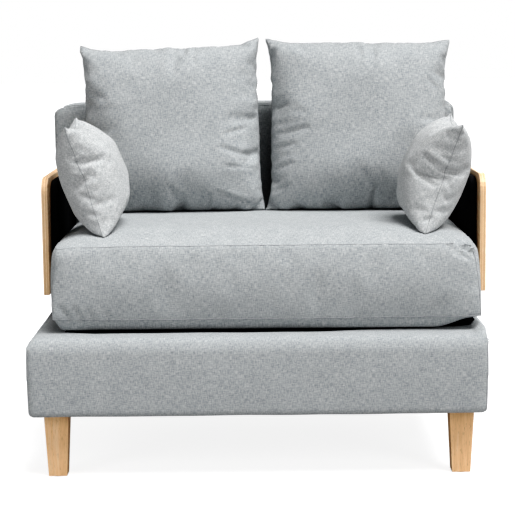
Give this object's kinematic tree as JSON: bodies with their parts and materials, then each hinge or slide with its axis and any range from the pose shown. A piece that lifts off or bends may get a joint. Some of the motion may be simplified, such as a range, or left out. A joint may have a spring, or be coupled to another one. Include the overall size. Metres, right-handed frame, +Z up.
{
  "type": "upholstered armchair with plywood arms",
  "caption": "Wide grey upholstered armchair with thin moulded plywood arms, a padded box base on tapered wooden legs, a loose boxed seat cushion and loose back and side pillows.",
  "frame": {"origin": "on the floor, under the middle of the whole chair's box", "axes": "+Z up, the seat faces -Y, +X is to the right of someone looking at the front"},
  "size_m": [0.953, 0.74, 0.8778],
  "materials": {
    "frame_pine": "planed, unfinished",
    "slat_birch": "planed, unfinished",
    "leg_wood": "satin lacquer over open grain",
    "glide_plastic": "matte",
    "bolt_steel": "zinc plated",
    "arm_plywood": "satin lacquer, plies bare on the edges",
    "back_plywood": "sanded, unfinished",
    "arm_lining": "black padded cloth",
    "base_upholstery": "melange linen weave over foam",
    "seat_fabric": "melange linen weave, sewn seams",
    "back_pillow_fabric": "melange linen weave, knife edge",
    "side_pillow_fabric": "melange linen weave, knife edge",
    "dust_cloth": "black non-woven cloth"
  },
  "bodies": {
    "root": {"base_front_rail": "frame_pine", "base_rear_rail": "frame_pine", "base_left_rail": "frame_pine", "base_right_rail": "frame_pine", "base_centre_rail": "frame_pine", "back_post_left": "frame_pine", "back_post_right": "frame_pine", "back_top_rail": "frame_pine", "back_lower_rail": "frame_pine", "arm_block_left": "frame_pine", "arm_block_right": "frame_pine", "leg_block_front_left": "frame_pine", "leg_block_front_right": "frame_pine", "leg_block_rear_left": "frame_pine", "leg_block_rear_right": "frame_pine", "deck_slat_1": "slat_birch", "deck_slat_2": "slat_birch", "deck_slat_3": "slat_birch", "deck_slat_4": "slat_birch", "deck_slat_5": "slat_birch", "leg_front_left": "leg_wood", "leg_front_right": "leg_wood", "leg_rear_left": "leg_wood", "leg_rear_right": "leg_wood", "leg_glide_front_left": "glide_plastic", "leg_glide_front_right": "glide_plastic", "leg_glide_rear_left": "glide_plastic", "leg_glide_rear_right": "glide_plastic", "hanger_bolt_front_left": "bolt_steel", "hanger_bolt_front_right": "bolt_steel", "hanger_bolt_rear_left": "bolt_steel", "hanger_bolt_rear_right": "bolt_steel", "arm_bolt_left_1": "bolt_steel", "arm_bolt_left_2": "bolt_steel", "arm_bolt_left_3": "bolt_steel", "arm_bolt_right_1": "bolt_steel", "arm_bolt_right_2": "bolt_steel", "arm_bolt_right_3": "bolt_steel", "post_bolt_left_1": "bolt_steel", "post_bolt_left_2": "bolt_steel", "post_bolt_right_1": "bolt_steel", "post_bolt_right_2": "bolt_steel", "arm_panel_left": "arm_plywood", "arm_panel_right": "arm_plywood", "arm_liner_left": "arm_lining", "arm_liner_right": "arm_lining", "base_top_pad": "base_upholstery", "base_front_pad": "base_upholstery", "base_rear_pad": "base_upholstery", "base_left_pad": "base_upholstery", "base_right_pad": "base_upholstery", "back_panel": "back_plywood", "back_cover": "base_upholstery", "dust_cover": "dust_cloth"},
    "seat_cushion": {"seat_cushion": "seat_fabric"},
    "back_pillow_left": {"back_pillow_left": "back_pillow_fabric"},
    "back_pillow_right": {"back_pillow_right": "back_pillow_fabric"},
    "side_pillow_left": {"side_pillow_left": "side_pillow_fabric"},
    "side_pillow_right": {"side_pillow_right": "side_pillow_fabric"}
  },
  "joints": [
    {"name": "seat_cushion_lift", "type": "slide", "parent": "root", "child": "seat_cushion", "axis": [0, 0, 1], "range_m": [0, 0.12]},
    {"name": "back_pillow_left_lift", "type": "slide", "parent": "seat_cushion", "child": "back_pillow_left", "axis": [0, 0, 1], "range_m": [0, 0.25]},
    {"name": "back_pillow_right_lift", "type": "slide", "parent": "seat_cushion", "child": "back_pillow_right", "axis": [0, 0, 1], "range_m": [0, 0.25]},
    {"name": "side_pillow_left_lift", "type": "slide", "parent": "seat_cushion", "child": "side_pillow_left", "axis": [0, 0, 1], "range_m": [0, 0.25]},
    {"name": "side_pillow_right_lift", "type": "slide", "parent": "seat_cushion", "child": "side_pillow_right", "axis": [0, 0, 1], "range_m": [0, 0.25]}
  ]
}
